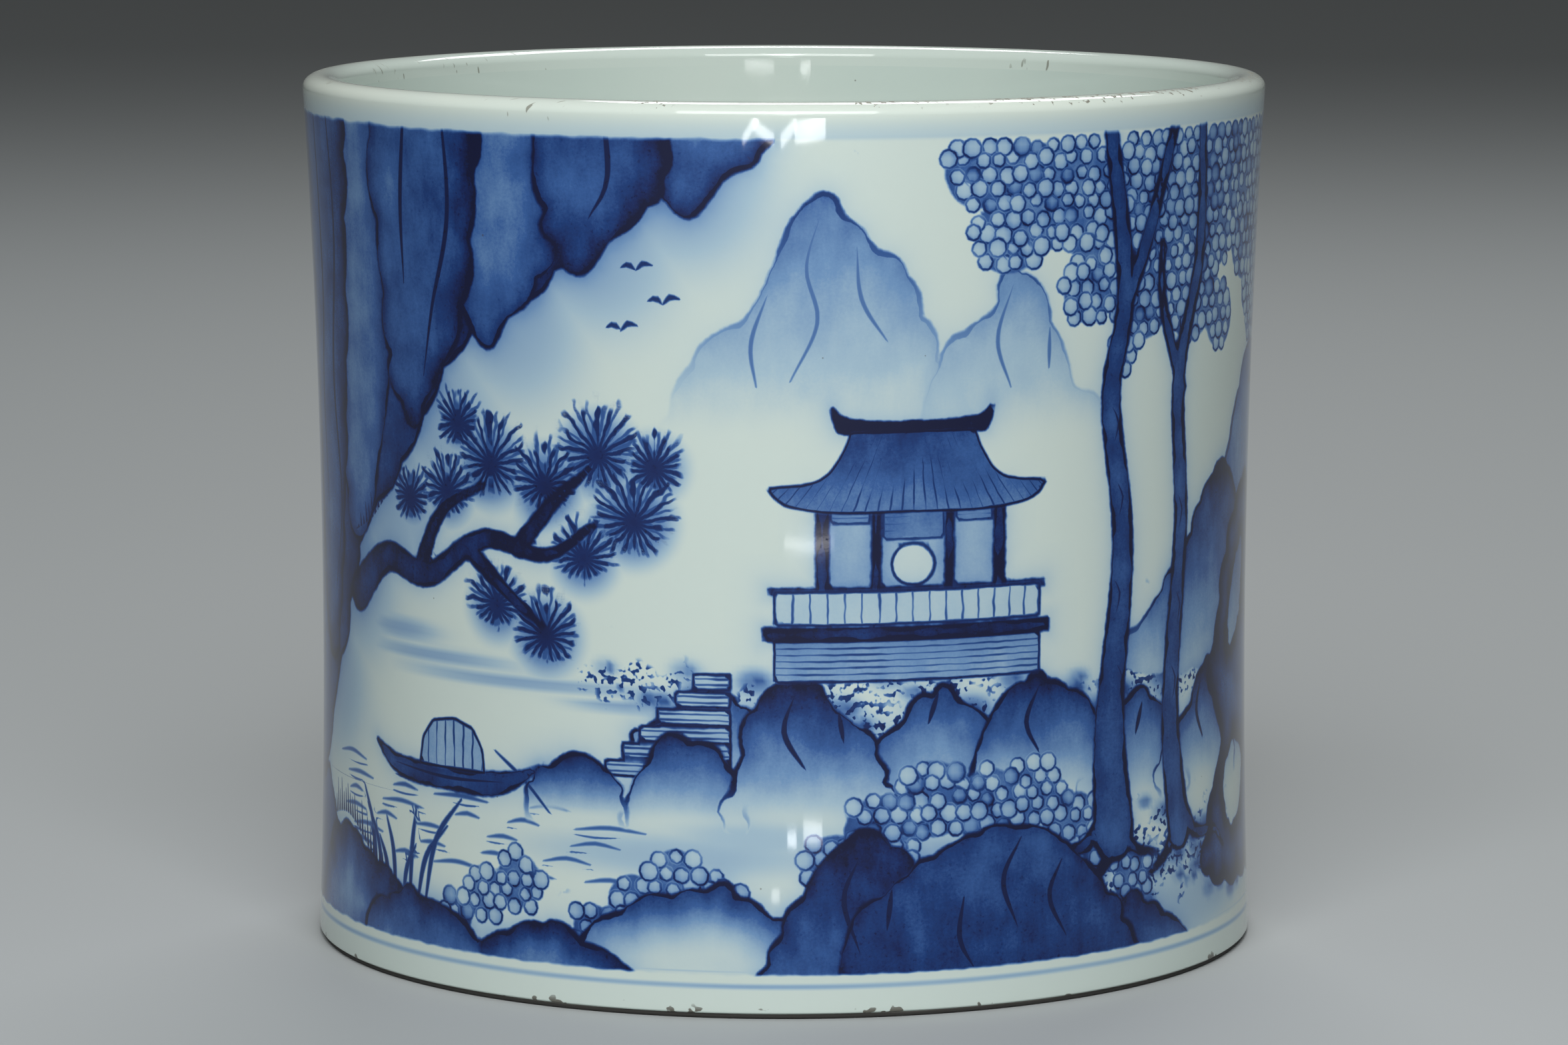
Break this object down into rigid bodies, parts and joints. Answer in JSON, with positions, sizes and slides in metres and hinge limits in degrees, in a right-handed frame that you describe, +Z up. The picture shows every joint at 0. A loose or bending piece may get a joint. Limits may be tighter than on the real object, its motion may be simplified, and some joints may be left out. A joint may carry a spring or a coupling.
{
  "type": "brush pot",
  "caption": "Cylindrical porcelain brush pot with a slightly waisted wall, rounded lip, flat bare foot ring and blue painted landscape under clear glaze.",
  "frame": {"origin": "centre of the plane that the foot rests on", "axes": "+Z up the pot's axis to the mouth; +X to the right and -Y towards the viewer of the picture"},
  "size_m": [0.186, 0.186, 0.1676],
  "materials": {
    "biscuit": "bare fired porcelain clay, matt",
    "painted_glaze": "cobalt blue painting under glossy clear glaze",
    "clear_glaze": "glossy clear glaze over white porcelain"
  },
  "bodies": {
    "root": {"wall_body": "biscuit", "base_slab": "biscuit", "luting_coil": "biscuit", "outer_glaze": "painted_glaze", "lip_glaze": "clear_glaze", "inner_glaze": "clear_glaze", "base_glaze": "clear_glaze"}
  },
  "joints": []
}
